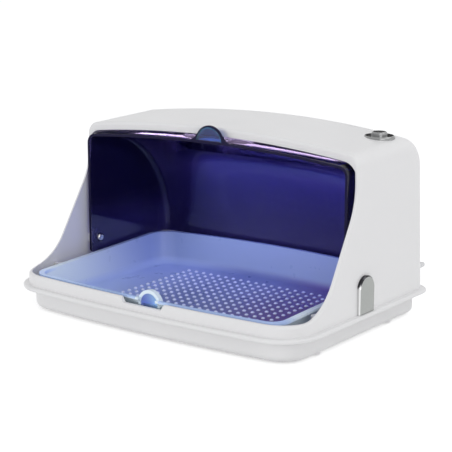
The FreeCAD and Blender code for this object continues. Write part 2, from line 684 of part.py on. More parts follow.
def make_bezel(outer):
    """The chrome ring round the button, cut to the hood's sloping top."""
    ring = cylinder_z(BUTTON_X, BUTTON_Y, SIDE_TOP_Z - BEZEL_R, BEZEL_TOP_Z, BEZEL_R)
    ring = ring.makeFillet(BEZEL_ROUND, pick(ring, level_at(BEZEL_TOP_Z)))
    bore = cylinder_z(BUTTON_X, BUTTON_Y, 0, FAR, BUTTON_R + BUTTON_CLEAR)
    return ring.cut(outer).cut(bore)


def make_button():
    low = BUTTON_TOP_Z - BUTTON_LENGTH
    cap = cylinder_z(BUTTON_X, BUTTON_Y, low, BUTTON_TOP_Z, BUTTON_R)
    cap = cap.makeFillet(BUTTON_ROUND, pick(cap, level_at(BUTTON_TOP_Z)))
    return cap.fuse(cylinder_z(BUTTON_X, BUTTON_Y, low - STEM_LENGTH, low, STEM_R)).removeSplitter()


def make_switch(inner):
    """The switch under the button, against the underside of the roof."""
    cap_low = BUTTON_TOP_Z - BUTTON_LENGTH
    stem_low = cap_low - STEM_LENGTH
    base = stem_low - BUTTON_TRAVEL - SWITCH_FLOOR
    body = cylinder_z(BUTTON_X, BUTTON_Y, base, base + SWITCH_LENGTH, SWITCH_R).common(inner)
    slack = BUTTON_TRAVEL + SWITCH_SPARE
    well = cylinder_z(BUTTON_X, BUTTON_Y, cap_low - slack, FAR, BUTTON_R + 2 * BUTTON_CLEAR)
    guide = cylinder_z(BUTTON_X, BUTTON_Y, stem_low - slack, FAR, STEM_R + BUTTON_CLEAR)
    return body.cut([well, guide])


def make_lamp():
    """The lamp: its glass, its two end caps and its contact pins."""
    half = LAMP_LENGTH / 2
    glass = cylinder_x(-half + CAP_LENGTH, half - CAP_LENGTH, LAMP_Y, LAMP_Z, LAMP_R)
    caps, pins = [], []
    for side in (-1, 1):
        x0, x1 = sorted((side * half, side * (half - CAP_LENGTH)))
        caps.append(cylinder_x(x0, x1, LAMP_Y, LAMP_Z, CAP_R))
        for dz in (-PIN_SPACING / 2, PIN_SPACING / 2):
            x0, x1 = sorted((side * half, side * (half + PIN_LENGTH)))
            pins.append(cylinder_x(x0, x1, LAMP_Y, LAMP_Z + dz, PIN_R))
    return glass, caps, pins


def make_reflector():
    half = LAMP_LENGTH / 2 + HOLDER_GAP + HOLDER_THICK
    sheet = cylinder_x(-half, half, REFLECTOR_Y, REFLECTOR_Z, REFLECTOR_R + REFLECTOR_THICK)
    sheet = sheet.cut(cylinder_x(-half, half, REFLECTOR_Y, REFLECTOR_Z, REFLECTOR_R))
    return sheet.common(box(
        -half, half, REFLECTOR_Y - REFLECTOR_DROP, FAR, REFLECTOR_Z - REFLECTOR_DROP, FAR))


def make_holder():
    """The right lampholder, seated in the reflector's curve."""
    x0 = LAMP_LENGTH / 2 + HOLDER_GAP
    x1 = x0 + HOLDER_THICK
    body = box(x0, x1, LAMP_Y - HOLDER_HALF, FAR, LAMP_Z - HOLDER_HALF, LAMP_Z + HOLDER_HALF)
    body = body.common(cylinder_x(x0, x1, REFLECTOR_Y, REFLECTOR_Z, REFLECTOR_R))
    pins = [
        cylinder_x(x0, x0 + PIN_LENGTH, LAMP_Y, LAMP_Z + dz, PIN_R)
        for dz in (-PIN_SPACING / 2, PIN_SPACING / 2)]
    return body.cut(pins)


def make_ballast():
    """The ballast's case and the screws that hold it to the roof."""
    x0, y0 = BALLAST_X - BALLAST_LENGTH / 2, BALLAST_Y - BALLAST_WIDTH / 2
    top = BALLAST_BASE_Z + BALLAST_HEIGHT
    case = box(x0, x0 + BALLAST_LENGTH, y0, y0 + BALLAST_WIDTH, BALLAST_BASE_Z, top)
    case = case.makeFillet(BALLAST_ROUND, pick(case, lambda e, m: upright(e)))
    screws = []
    for x in ballast_screw_places():
        case = case.cut(cylinder_z(x, BALLAST_Y, 0, FAR, SCREW_R))
        head = cylinder_z(x, BALLAST_Y, BALLAST_BASE_Z - SCREW_HEAD_HEIGHT, BALLAST_BASE_Z, SCREW_HEAD_R)
        shank = cylinder_z(x, BALLAST_Y, BALLAST_BASE_Z, top + WALL - SCREW_TIP_GAP, SCREW_R)
        screws.append(head.fuse(shank).removeSplitter())
    return case, screws


def wall_y(x, z, inset):
    """Where the hood's back surface, moved in by an inset, lies at a place."""
    half = HALF - inset
    r = (half ** 2 + BACK_BOW ** 2) / (2 * BACK_BOW)
    bow = math.sqrt(r ** 2 - x ** 2) - r + BACK_BOW
    return HOOD_BACK - inset + bow - BACK_DRAFT * (z - SEAM_Z) / (SIDE_TOP_Z - SEAM_Z)


def make_interlock(inner):
    """The safety switch on the back wall, with its plunger under the open cover's lower edge."""
    top = PIVOT_Z - COVER_LOW - PLUNGER_GAP - PLUNGER_HEIGHT
    half = INTERLOCK_LENGTH / 2
    y0 = wall_y(INTERLOCK_X, top, WALL) - INTERLOCK_DEPTH
    body = box(INTERLOCK_X - half, INTERLOCK_X + half, y0, FAR, top - INTERLOCK_HEIGHT, top).common(inner)
    y = y0 + INTERLOCK_DEPTH / 2
    return body.fuse(cylinder_z(INTERLOCK_X, y, top, top + PLUNGER_HEIGHT, PLUNGER_R)).removeSplitter()


def make_terminal(inner):
    """The terminal block on the back wall, near the cord."""
    x0 = TERMINAL_X - TERMINAL_LENGTH / 2
    top = PIVOT_Z - COVER_LOW - TERMINAL_GAP
    y0 = wall_y(TERMINAL_X, top, WALL) - TERMINAL_DEPTH
    block = box(x0, x0 + TERMINAL_LENGTH, y0, FAR, top - TERMINAL_HEIGHT, top)
    return block.common(inner)


def make_boot(outer, inner):
    """The cord's tapered boot outside the back wall, and its lock nut inside."""
    face_y = wall_y(CORD_X, CORD_Z, 0) + BOOT_FOOT
    in_y = wall_y(CORD_X, CORD_Z, WALL) - NUT_THICK
    foot = cylinder_y(CORD_X, in_y, face_y, CORD_Z, BOOT_FOOT_R).cut(outer)
    bore = CORD_R + RUN_CLEAR
    outline = [
        (0, in_y), (NECK_R, in_y), (NECK_R, face_y), (BOOT_BASE_R, face_y),
        (BOOT_TIP_R, BOOT_TIP_Y), (bore, BOOT_TIP_Y), (bore, CORD_START_Y), (0, CORD_START_Y)]
    points = [V(CORD_X + r, y, CORD_Z) for r, y in outline]
    section = face_of([Part.LineSegment(a, b) for a, b in zip(points, points[1:] + points[:1])])
    body = section.revolve(V(CORD_X, 0, CORD_Z), V(0, 1, 0), 360)
    boot = body.fuse(foot).cut(cylinder_y(CORD_X, CORD_START_Y, FAR, CORD_Z, bore)).removeSplitter()
    nut = cylinder_y(CORD_X, in_y, FAR, CORD_Z, NUT_R).common(inner)
    return boot, nut.cut(cylinder_y(CORD_X, 0, FAR, CORD_Z, NECK_R + NECK_CLEAR))


def arc_between(p, q, r):
    """The arc from p to r that is tangent to p-q and q-r, where q is as far from both."""
    w = (r - p).Length / 2 / (q - p).Length
    return Part.Arc(p, (p + q * (2 * w) + r) * (1 / (2 + 2 * w)), r)


def cord_path(points):
    """Straight runs joined by tangent arcs as large as the runs allow."""
    edges = []
    at = points[0]
    for before, point, after in zip(points, points[1:], points[2:]):
        u, w = (before - point), (after - point)
        reach = CORD_BEND * min(u.Length, w.Length)
        u.normalize()
        w.normalize()
        start, end = point + u * reach, point + w * reach
        turn = math.pi - u.getAngle(w)
        print("cord turn %.0f degrees, radius %.1f mm" % (math.degrees(turn), reach / math.tan(turn / 2)))
        edges.append(Part.LineSegment(at, start))
        edges.append(arc_between(start, point, end))
        at = end
    edges.append(Part.LineSegment(at, points[-1]))
    return Part.Wire([e.toShape() for e in edges])


def coil_path():
    """A coil that spirals in on one layer, climbs in the half turn where it reverses, and spirals out."""
    edges = []
    top_r = COIL_INNER_R + COIL_TURNS_IN * COIL_STEP / 2
    at = V(COIL_X, COIL_Y + top_r, COIL_Z)
    heading = V(-1, 0, 0)
    edges.append(Part.LineSegment(at - heading * COIL_LEAD_IN, at))
    radii = [top_r - k * COIL_STEP / 2 for k in range(COIL_TURNS_IN)]
    radii.append(COIL_INNER_R)
    radii += [COIL_INNER_R + (k + 1) * COIL_STEP / 2 for k in range(COIL_TURNS_OUT)]
    for k, r in enumerate(radii):
        rise = COIL_STEP if k == COIL_TURNS_IN else 0.0
        side = V(0, -1, 0) if k % 2 == 0 else V(0, 1, 0)
        end = at + side * (2 * r) + V(0, 0, rise)
        reach = (end - at).Length / 2
        corner_a, corner_b = at + heading * reach, end + heading * reach
        apex = (corner_a + corner_b) * 0.5
        edges.append(arc_between(at, corner_a, apex))
        edges.append(arc_between(apex, corner_b, end))
        at, heading = end, heading * -1
    edges.append(Part.LineSegment(at, at + heading * COIL_LEAD_OUT))
    return Part.Wire([e.toShape() for e in edges]), at + heading * COIL_LEAD_OUT


def tube(wire, r):
    start = wire.OrderedVertexes[0].Point
    first = wire.OrderedEdges[0]
    profile = Part.Wire(Part.makeCircle(r, start, first.tangentAt(first.FirstParameter)))
    solid = wire.makePipeShell([profile], True, False)
    print("tube volume %.4f of its section times its length, length %.0f mm" % (
        solid.Volume / (math.pi * r * r * wire.Length), wire.Length))
    return solid


def least_gap(wire, r):
    """The least distance between two stretches of a tube that aren't next to each other."""
    points = wire.discretize(Distance=1.0)
    apart = int(4 * math.pi * r)
    least = FAR
    for i, p in enumerate(points):
        for q in points[i + apart:]:
            least = min(least, (p - q).Length)
    return least - 2 * r


def make_tie():
    """A strap round one side of the coil."""
    outer_r = COIL_INNER_R + COIL_TURNS_IN * COIL_STEP / 2
    reach_in = COIL_INNER_R - CORD_R - COIL_STEP
    reach_out = outer_r + CORD_R + COIL_STEP / 2
    z0, z1 = COIL_Z - CORD_R - TIE_GAP, COIL_Z + COIL_STEP + CORD_R + TIE_GAP
    y0, y1 = COIL_Y - TIE_WIDTH / 2, COIL_Y + TIE_WIDTH / 2
    x0, x1 = COIL_X - reach_out, COIL_X - reach_in
    strap = box(x0 - TIE_THICK, x1 + TIE_THICK, y0, y1, z0 - TIE_THICK, z1 + TIE_THICK)
    return strap.cut(box(x0, x1, y0, y1, z0, z1))


def make_plug(end):
    """A flat two-pin plug that lies beside the coil, with its cord end at a point."""
    half, tail, thick = PLUG_WIDTH / 2, PLUG_TAIL_WIDTH / 2, end.z
    x0, x1 = end.x, end.x - PLUG_LENGTH
    shoulder = end.x - PLUG_LENGTH / 2
    points = [
        V(x0, end.y - tail, 0), V(shoulder, end.y - half, 0), V(x1, end.y - half, 0),
        V(x1, end.y + half, 0), V(shoulder, end.y + half, 0), V(x0, end.y + tail, 0)]
    face = face_of([Part.LineSegment(a, b) for a, b in zip(points, points[1:] + points[:1])])
    body = face.extrude(V(0, 0, 2 * thick))
    body = body.makeFillet(PLUG_ROUND, pick(body, lambda e, m: upright(e)))
    pins = []
    for dy in (-PLUG_PIN_SPACING / 2, PLUG_PIN_SPACING / 2):
        pin = cylinder_x(x1 - PLUG_PIN_LENGTH, x1, end.y + dy, end.z, PLUG_PIN_R)
        tip = pick(pin, lambda e, m: abs(m.x - x1 + PLUG_PIN_LENGTH) < 0.01)
        pins.append(pin.makeFillet(PLUG_PIN_R / 2, tip))
    return body, pins


os.makedirs("parts", exist_ok=True)


def save(name, shape):
    """Writes one sub-part."""
    if len(shape.Solids) == 1:
        shape = shape.Solids[0]
    print(name, "valid" if shape.isValid() else "NOT VALID", len(shape.Solids), "solids")
    shape.exportStep("parts/%s.step" % name)


def save_each(name, shapes):
    """Writes repeated sub-parts, numbered from one."""
    for number, shape in enumerate(shapes, 1):
        save("%s_%d" % (name, number), shape)


outer = hood_block(0)
inner = hood_block(WALL, SEAM_Z - WALL)
middle = hood_block(WALL / 2)
save("hood_shell", make_hood(outer, inner, middle))
save("base_pan", make_pan())
save_each("foot", make_feet())
save_each("base_screw", make_base_screws())
save("cover", make_cover())
for place, turn in (("right", lambda s: s), ("left", mirrored)):
    save("pivot_screw_" + place, turn(make_pivot_screw()))
    save("pivot_washer_" + place, turn(make_pivot_washer()))
    save("pivot_plate_" + place, turn(make_pivot_plate(outer)))
    save("lamp_holder_" + place, turn(make_holder()))
save("tray", make_tray())
save("button_bezel", make_bezel(outer))
save("power_button", make_button())
save("push_switch", make_switch(inner))
glass, caps, pins = make_lamp()
save("lamp_glass", glass)
save_each("lamp_cap", caps)
save_each("lamp_pin", pins)
save("reflector", make_reflector())
case, screws = make_ballast()
save("ballast", case)
save_each("ballast_screw", screws)
save("interlock_switch", make_interlock(inner))
save("terminal_block", make_terminal(inner))
boot, nut = make_boot(outer, inner)
save("cord_boot", boot)
save("boot_nut", nut)
coil, coil_end = coil_path()
print("least gap between the coil's turns %.2f mm" % least_gap(coil, CORD_R))
save("power_cord", tube(cord_path(ROUTE + [coil.OrderedVertexes[0].Point]), CORD_R))
save("cord_coil", tube(coil, CORD_R))
save("cord_tie", make_tie())
plug, plug_pins = make_plug(coil_end)
save("plug_body", plug)
save_each("plug_pin", plug_pins)
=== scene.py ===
"""Looks of the ultraviolet tool sterilizer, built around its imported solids. Metres, in the row's frame."""
import math

import bpy
import numpy as np
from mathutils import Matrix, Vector


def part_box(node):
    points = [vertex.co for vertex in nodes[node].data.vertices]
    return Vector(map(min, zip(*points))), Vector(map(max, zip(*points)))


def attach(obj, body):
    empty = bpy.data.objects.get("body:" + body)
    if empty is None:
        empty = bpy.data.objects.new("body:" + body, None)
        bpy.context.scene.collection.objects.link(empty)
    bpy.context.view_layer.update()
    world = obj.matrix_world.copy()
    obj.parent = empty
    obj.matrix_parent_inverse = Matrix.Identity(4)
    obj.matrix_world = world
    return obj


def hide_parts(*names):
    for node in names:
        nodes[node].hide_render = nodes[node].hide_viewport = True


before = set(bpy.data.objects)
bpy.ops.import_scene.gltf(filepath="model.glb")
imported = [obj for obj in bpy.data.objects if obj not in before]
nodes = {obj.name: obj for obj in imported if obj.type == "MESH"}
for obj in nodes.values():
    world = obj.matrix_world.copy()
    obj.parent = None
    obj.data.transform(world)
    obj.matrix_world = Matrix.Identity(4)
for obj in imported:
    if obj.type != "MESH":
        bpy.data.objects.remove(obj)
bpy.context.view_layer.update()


# Camera: at the right front corner, a little above the roof and without roll. The view is 452 by 452
# pixels, and the focal length in pixels comes from the perspective of the hood's edges.
VIEW_PIXELS = 452
FOCAL_PIXELS = 1432.8
SENSOR_MM = 36.0
EYE = Vector((0.7431, -0.9817, 0.3618))
AIM = Vector((0.0053, 0.0026, 0.0774))

camera_data = bpy.data.cameras.new("camera")
camera_data.sensor_width = SENSOR_MM
camera_data.lens = SENSOR_MM * FOCAL_PIXELS / VIEW_PIXELS
camera_data.clip_end = 20
camera = bpy.data.objects.new("camera", camera_data)
camera.location = EYE
camera.rotation_euler = (AIM - EYE).to_track_quat("-Z", "Y").to_euler()
bpy.context.scene.collection.objects.link(camera)
bpy.context.scene.camera = camera


# Studio: a white sweep under and behind the object, and a white sky. What the lens, metal and clear
# plastic see of it is plain white, and the object is lit by the sky at a lower, even level.
SKY_LEVEL = 0.63
SKY_COLOUR = (0.975, 0.985, 1.0, 1)
FLOOR_HALF = 4.0
FLOOR_COLOUR = (0.86, 0.86, 0.86, 1)
FLOOR_GLOW = 0.5
PURE_WHITE = (1, 1, 1, 1)


def shader(tree, kind, **values):
    """A node of one kind with its input sockets set by name."""
    node = tree.nodes.new("ShaderNode" + kind)
    for name, value in values.items():
        node.inputs[name.replace("_", " ")].default_value = value
    return node


def seen_directly(tree):
    """A socket that is 1 for camera, mirror and see-through rays, and 0 for rays that only carry light."""
    path = shader(tree, "LightPath")
    total = path.outputs["Is Camera Ray"]
    for name in ("Is Glossy Ray", "Is Transmission Ray"):
        largest = shader(tree, "Math")
        largest.operation = "MAXIMUM"
        tree.links.new(total, largest.inputs[0])
        tree.links.new(path.outputs[name], largest.inputs[1])
        total = largest.outputs[0]
    return total


def mix_shaders(tree, factor, low, high):
    """The output of a mix of two shader nodes by a factor socket."""
    mix = shader(tree, "MixShader")
    tree.links.new(factor, mix.inputs[0])
    tree.links.new(low.outputs[0], mix.inputs[1])
    tree.links.new(high.outputs[0], mix.inputs[2])
    return mix.outputs[0]


world = bpy.data.worlds.new("studio")
world.use_nodes = True
sky = world.node_tree
sky.nodes.clear()
sky_light = shader(sky, "Background", Color=SKY_COLOUR, Strength=SKY_LEVEL)
sky_white = shader(sky, "Background", Color=PURE_WHITE, Strength=1.0)
sky_mix = mix_shaders(sky, seen_directly(sky), sky_light, sky_white)
sky.links.new(sky_mix, shader(sky, "OutputWorld").inputs["Surface"])
bpy.context.scene.world = world
bpy.context.scene.view_settings.view_transform = "Standard"


def grid_mesh(name, points):
    """A quad mesh through an array of points with shape (rows, columns, 3)."""
    rows, columns = points.shape[:2]
    u = np.arange(rows - 1)[:, None]
    v = np.arange(columns - 1)[None, :]
    first = u * columns + v
    quads = np.stack([first, first + columns, first + columns + 1, first + 1], -1)
    mesh = bpy.data.meshes.new(name)
    mesh.from_pydata(points.reshape(-1, 3), [], quads.reshape(-1, 4))
    mesh.update()
    return mesh


def add_piece(name, data):
    """An object at the origin with that mesh or curve."""
    piece = bpy.data.objects.new(name, data)
    bpy.context.scene.collection.objects.link(piece)
    return piece


corner = np.array([-FLOOR_HALF, FLOOR_HALF])
floor_points = np.stack([*np.meshgrid(corner, corner), np.zeros((2, 2))], -1)[:, ::-1]
floor = add_piece("studio_floor", grid_mesh("studio_floor", floor_points))
floor_paint = bpy.data.materials.new("studio_floor")
floor_paint.use_nodes = True
tree = floor_paint.node_tree
tree.nodes.clear()
floor_diffuse = shader(tree, "BsdfDiffuse", Color=FLOOR_COLOUR)
floor_glow = shader(tree, "Emission", Color=PURE_WHITE, Strength=FLOOR_GLOW)
floor_lit = shader(tree, "AddShader")
tree.links.new(floor_diffuse.outputs[0], floor_lit.inputs[0])
tree.links.new(floor_glow.outputs[0], floor_lit.inputs[1])
floor_mix = mix_shaders(tree, seen_directly(tree), floor_diffuse, floor_lit)
tree.links.new(floor_mix, shader(tree, "OutputMaterial").inputs["Surface"])
floor.data.materials.append(floor_paint)


# Studio lamps: three square soft boxes, at the right, over the roof and low at the left front. Shiny
# pieces don't mirror the low one, which would lie as a white patch on the closed cover.
KEY_PLACE, KEY_AIM, KEY_SIDE, KEY_POWER = (1.4, -0.9, 0.6), (0, 0, 0.05), 1.0, 5.6
TOP_PLACE, TOP_AIM, TOP_SIDE, TOP_POWER = (0.5, 0.3, 0.7), (0.1, 0.05, 0.16), 0.4, 1.0
LOW_PLACE, LOW_AIM, LOW_SIDE, LOW_POWER = (-0.7, -1.5, 0.25), (0, 0, 0.02), 0.5, 5.6


def area_lamp(name, place, aim, sides, power, colour=(1.0, 1.0, 1.0), hidden_from=()):
    """A rectangular lamp that faces a point, unseen by the kinds of rays that hidden_from names."""
    data = bpy.data.lights.new(name, "AREA")
    data.shape = "RECTANGLE"
    data.size, data.size_y = sides
    data.color = colour
    data.energy = power
    lamp = bpy.data.objects.new(name, data)
    lamp.location = place
    lamp.rotation_euler = (Vector(aim) - Vector(place)).to_track_quat("-Z", "Y").to_euler()
    for kind in hidden_from:
        setattr(lamp, "visible_" + kind, False)
    bpy.context.scene.collection.objects.link(lamp)


area_lamp("key_lamp", KEY_PLACE, KEY_AIM, (KEY_SIDE, KEY_SIDE), KEY_POWER)
area_lamp("top_lamp", TOP_PLACE, TOP_AIM, (TOP_SIDE, TOP_SIDE), TOP_POWER)
area_lamp("low_lamp", LOW_PLACE, LOW_AIM, (LOW_SIDE, LOW_SIDE), LOW_POWER, hidden_from=("glossy",))


# Studio card: a small matt black card that hangs behind on the left, out of the lens's sight. The
# button's chrome mirrors it as a dark patch.
CARD_X, CARD_Y, CARD_Z = (-0.262, -0.186), 0.65, (0.245, 0.305)
CARD_BLACK = (0.01, 0.01, 0.01, 1)
card_points = np.array([[(x, CARD_Y, z) for x in CARD_X] for z in CARD_Z])
card = add_piece("studio_card", grid_mesh("studio_card", card_points))
card_paint = bpy.data.materials.new("studio_card")
card_paint.use_nodes = True
card_paint.node_tree.nodes["Principled BSDF"].inputs["Base Color"].default_value = CARD_BLACK
card.data.materials.append(card_paint)
card.visible_camera = False


# Base pan, hood and lampholders: injection-moulded gloss white plastic with a cloudy gloss. The hood
# stands on the pan's flange, and four screws from below hold the two together.
WHITE = ((0.785, 0.78, 0.785), (0.805, 0.80, 0.805))
WHITE_GLOSS = (0.28, 0.36)


def new_finish(name, **values):
    """A material with one Principled shader, its tree and the shader."""
    material = bpy.data.materials.new(name)
    material.use_nodes = True
    body = material.node_tree.nodes["Principled BSDF"]
    for key, value in values.items():
        body.inputs[key.replace("_", " ")].default_value = value
    return material, material.node_tree, body


def speckle(tree, scale):
    """Noise in object coordinates, with a feature size of about one over its scale in metres."""
    noise = shader(tree, "TexNoise", Scale=scale, Detail=3.0)
    tree.links.new(shader(tree, "TexCoord").outputs["Object"], noise.inputs["Vector"])
    return noise.outputs["Fac"]


def ramp(tree, factor, low, high, start=0.3, end=0.7):
    """A colour or grey value that runs from low to high as the factor goes from start to end."""
    node = shader(tree, "ValToRGB")
    stops = node.color_ramp.elements
    for stop, at, value in zip(stops, (start, end), (low, high)):
        stop.position = at
        stop.color = (value,) * 3 + (1,) if isinstance(value, float) else tuple(value) + (1,)
    tree.links.new(factor, node.inputs["Fac"])
    return node.outputs["Color"]


def vary(tree, body, socket, span, scale):
    """Lets a socket of the finish wander between the two values of a span, by noise of that scale."""
    tree.links.new(ramp(tree, speckle(tree, scale), *span), body.inputs[socket])


def dress(material, *names):
    """Gives one finish to the CAD nodes of those names, or whose names start with one that ends in a star."""
    for node_name, piece in nodes.items():
        if any(node_name == n or n.endswith("*") and node_name.startswith(n[:-1]) for n in names):
            piece.data.materials.clear()
            piece.data.materials.append(material)


white_plastic, tree, body = new_finish("white_plastic", IOR=1.5, Specular_IOR_Level=0.35)
vary(tree, body, "Base Color", WHITE, scale=9.0)
vary(tree, body, "Roughness", WHITE_GLOSS, scale=35.0)
dress(white_plastic, "hood_shell", "base_pan", "lamp_holder*")


# Cover: a roll-top of clear blue-violet acrylic, pressed in one piece and hung on a screw in each cheek.
# Its colour is in the plastic, so a long way through it is almost black. The cut front edge and the rim of
# the pull tab are painted an opaque near-black, as painted shade for that long way through, and the upper
# part of the cheeks is painted darker, as painted shade.
COVER_PASS = (0.11, 0.065, 0.51)
COVER_DENSITY = 800.0
COVER_ROUGHNESS = 0.03
EDGE_SHADE = (0.010, 0.008, 0.035)
EDGE_ROUGHNESS = 0.4
EDGE_DEPTH = 0.0006
TAB_FOOT_Z = 0.1548
TAB_MIDDLE_Z = 0.1534
TAB_RIM = (0.0128, 0.0136)
TAB_TINT = (0.14, 0.72, 1.0)
CHEEK_SHADE = (0.30, 0.28, 0.34)
CHEEK_DEPTH = (0.009, 0.005)
CHEEK_Z = (0.05, 0.09)
UNTINTED = (1.0, 1.0, 1.0)


def along(tree, socket, start, end):
    """A factor that goes smoothly from 0 to 1 as a value goes from start to end."""
    span = shader(tree, "MapRange")
    span.interpolation_type = "SMOOTHSTEP"
    span.inputs["From Min"].default_value = start
    span.inputs["From Max"].default_value = end
    tree.links.new(socket, span.inputs["Value"])
    return span.outputs["Result"]


def combine(tree, kind, a, b=0):
    """A math node on two sockets or values."""
    node = shader(tree, "Math")
    node.operation = kind
    for socket, value in zip(node.inputs, (a, b)):
        if isinstance(value, (int, float)):
            socket.default_value = value
        else:
            tree.links.new(value, socket)
    return node.outputs[0]


def distance(tree, a, a_middle, b, b_middle):
    """How far a point lies from a middle in a plane: the root of the two squared differences' sum."""
    gaps = [combine(tree, "SUBTRACT", a, a_middle), combine(tree, "SUBTRACT", b, b_middle)]
    squares = [combine(tree, "MULTIPLY", gap, gap) for gap in gaps]
    return combine(tree, "SQRT", combine(tree, "ADD", *squares))


def blend(tree, factor, low, high):
    """A colour between two colours or sockets."""
    node = shader(tree, "Mix")
    node.data_type = "RGBA"
    tree.links.new(factor, node.inputs["Factor"])
    for socket, value in zip((node.inputs[6], node.inputs[7]), (low, high)):
        if isinstance(value, tuple):
            socket.default_value = value + (1,)
        else:
            tree.links.new(value, socket)
    return node.outputs[2]


def object_axes(tree):
    """The three object coordinates of a point, as separate sockets."""
    axes = shader(tree, "SeparateXYZ")
    tree.links.new(shader(tree, "TexCoord").outputs["Object"], axes.inputs[0])
    return axes.outputs["X"], axes.outputs["Y"], axes.outputs["Z"]


cover_low, cover_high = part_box("cover")
front_edge = cover_low[1]
cheek_x = [cover_high[0] - depth for depth in CHEEK_DEPTH]
cover_plastic, tree, body = new_finish("cover_plastic", IOR=1.49, Specular_IOR_Level=0.1)
x, y, z = object_axes(tree)
# Painted shade: the cut front edge and the rim of the pull tab are made opaque near-black instead of clear.
near_front = along(tree, y, front_edge + EDGE_DEPTH, front_edge + EDGE_DEPTH / 2)
under_tab = combine(tree, "LESS_THAN", z, TAB_FOOT_Z)
near_tab_rim = along(tree, distance(tree, x, 0, z, TAB_MIDDLE_Z), *TAB_RIM)
tab_rim_shade = combine(tree, "MULTIPLY", combine(tree, "SUBTRACT", 1, under_tab), near_tab_rim)
cut_edge_shade = combine(tree, "MAXIMUM", combine(tree, "MULTIPLY", near_front, under_tab), tab_rim_shade)
# Painted shade: the upper part of each cheek passes less light, so that it looks darker.
at_side = along(tree, combine(tree, "ABSOLUTE", x), *cheek_x)
in_cheek_shade = combine(tree, "MULTIPLY", along(tree, z, *CHEEK_Z), at_side)
pass_tint_and_shade = blend(tree, under_tab, TAB_TINT, blend(tree, in_cheek_shade, UNTINTED, CHEEK_SHADE))
tree.links.new(blend(tree, cut_edge_shade, pass_tint_and_shade, EDGE_SHADE), body.inputs["Base Color"])
tree.links.new(combine(tree, "SUBTRACT", 1, cut_edge_shade), body.inputs["Transmission Weight"])
tree.links.new(ramp(tree, cut_edge_shade, COVER_ROUGHNESS, EDGE_ROUGHNESS, 0.0, 1.0), body.inputs["Roughness"])
absorb = shader(tree, "VolumeAbsorption", Color=COVER_PASS + (1,), Density=COVER_DENSITY)
shadow_ray = shader(tree, "LightPath").outputs["Is Shadow Ray"]
cover_mix = mix_shaders(tree, shadow_ray, body, shader(tree, "BsdfTransparent"))
cover_out = tree.nodes["Material Output"]
tree.links.new(cover_mix, cover_out.inputs["Surface"])
tree.links.new(absorb.outputs[0], cover_out.inputs["Volume"])
dress(cover_plastic, "cover")


# Tray: moulded light blue plastic, satin, lifted out by the dished pull at its front. Over its own light blue
# it is painted with shade by position: palest at the front and left, deeper towards the back and on its
# floor, and darkest at the floor's right. The tops of the small nubs on the floor are painted pale as painted
# highlights, and the inside of the pull's dish is painted darker at its left, as painted shade.
TRAY_FLOOR_Z = 0.012
TRAY_WALL_Z = 0.020
FLOOR_LEFT, FLOOR_MIDDLE, FLOOR_RIGHT_SHADE = (0.50, 0.64, 0.96), (0.21, 0.26, 0.48), (0.13, 0.05, 0.26)
FLOOR_FADE_X = (-0.115, -0.015, 0.10)
WALL_FRONT, WALL_BACK_SHADE = (0.80, 0.92, 1.0), (0.30, 0.40, 0.68)
WALL_FADE_Y = (-0.08, 0.08)
NUB_TOP = 0.0008
NUB_FIELD = (0.083, 0.066)
NUB_MIDDLE_Y = -0.005
NUB_HIGHLIGHT = (0.74, 0.80, 1.0)
PULL_X, PULL_Z = 0.002, 0.029
PULL_OUTER_R = (0.0125, 0.0135)
DISH_R = (0.0094, 0.0086)
DISH_Y = (-0.090, -0.094)
DISH_HALF = 0.009
DISH_SHADE_LEFT, DISH_LIT_RIGHT = (0.16, 0.22, 0.66), (0.40, 0.66, 1.0)
RIM_TINT = (0.50, 0.66, 1.0)
RIM_Z = (0.0315, 0.0330)
RIM_Y = (-0.070, -0.092)
WORN_PALE = (0.80, 0.86, 0.96)
WORN_SHARE = (0.0, 0.06)
TRAY_GLOSS = (0.26, 0.36)

tray_plastic, tree, body = new_finish("tray_plastic", IOR=1.5)
x, y, z = object_axes(tree)
# Painted shade: the floor darkens from left to right and the walls from front to back.
floor_colour_and_shade = blend(tree, along(tree, x, *FLOOR_FADE_X[:2]), FLOOR_LEFT, FLOOR_MIDDLE)
floor_colour_and_shade = blend(tree, along(tree, x, *FLOOR_FADE_X[1:]), floor_colour_and_shade, FLOOR_RIGHT_SHADE)
wall_colour_and_shade = blend(tree, along(tree, y, *WALL_FADE_Y), WALL_FRONT, WALL_BACK_SHADE)
tint = blend(tree, along(tree, z, TRAY_FLOOR_Z, TRAY_WALL_Z), floor_colour_and_shade, wall_colour_and_shade)

# Painted highlight: the tops of the floor's nubs are painted pale.
far_x = combine(tree, "ABSOLUTE", x)
far_y = combine(tree, "ABSOLUTE", combine(tree, "SUBTRACT", y, NUB_MIDDLE_Y))
in_columns = combine(tree, "LESS_THAN", far_x, NUB_FIELD[0])
in_rows = combine(tree, "LESS_THAN", far_y, NUB_FIELD[1])
nub_height = along(tree, z, TRAY_FLOOR_Z, TRAY_FLOOR_Z + NUB_TOP)
on_nub_highlight = combine(tree, "MULTIPLY", combine(tree, "MULTIPLY", in_columns, in_rows), nub_height)
tint = blend(tree, on_nub_highlight, tint, NUB_HIGHLIGHT)

from_pull = distance(tree, x, PULL_X, z, PULL_Z)
at_front = combine(tree, "MULTIPLY", along(tree, y, *RIM_Y), along(tree, from_pull, *PULL_OUTER_R))
on_rim = combine(tree, "MULTIPLY", along(tree, z, *RIM_Z), at_front)
tint = blend(tree, on_rim, tint, RIM_TINT)
# Painted shade: the inside of the pull's dish is painted darker, from dark at its left to lighter at its
# right.
in_dish = combine(tree, "MULTIPLY", along(tree, from_pull, *DISH_R), along(tree, y, *DISH_Y))
dish_shade = blend(tree, along(tree, x, PULL_X - DISH_HALF, PULL_X + DISH_HALF), DISH_SHADE_LEFT, DISH_LIT_RIGHT)
tint = blend(tree, in_dish, tint, dish_shade)

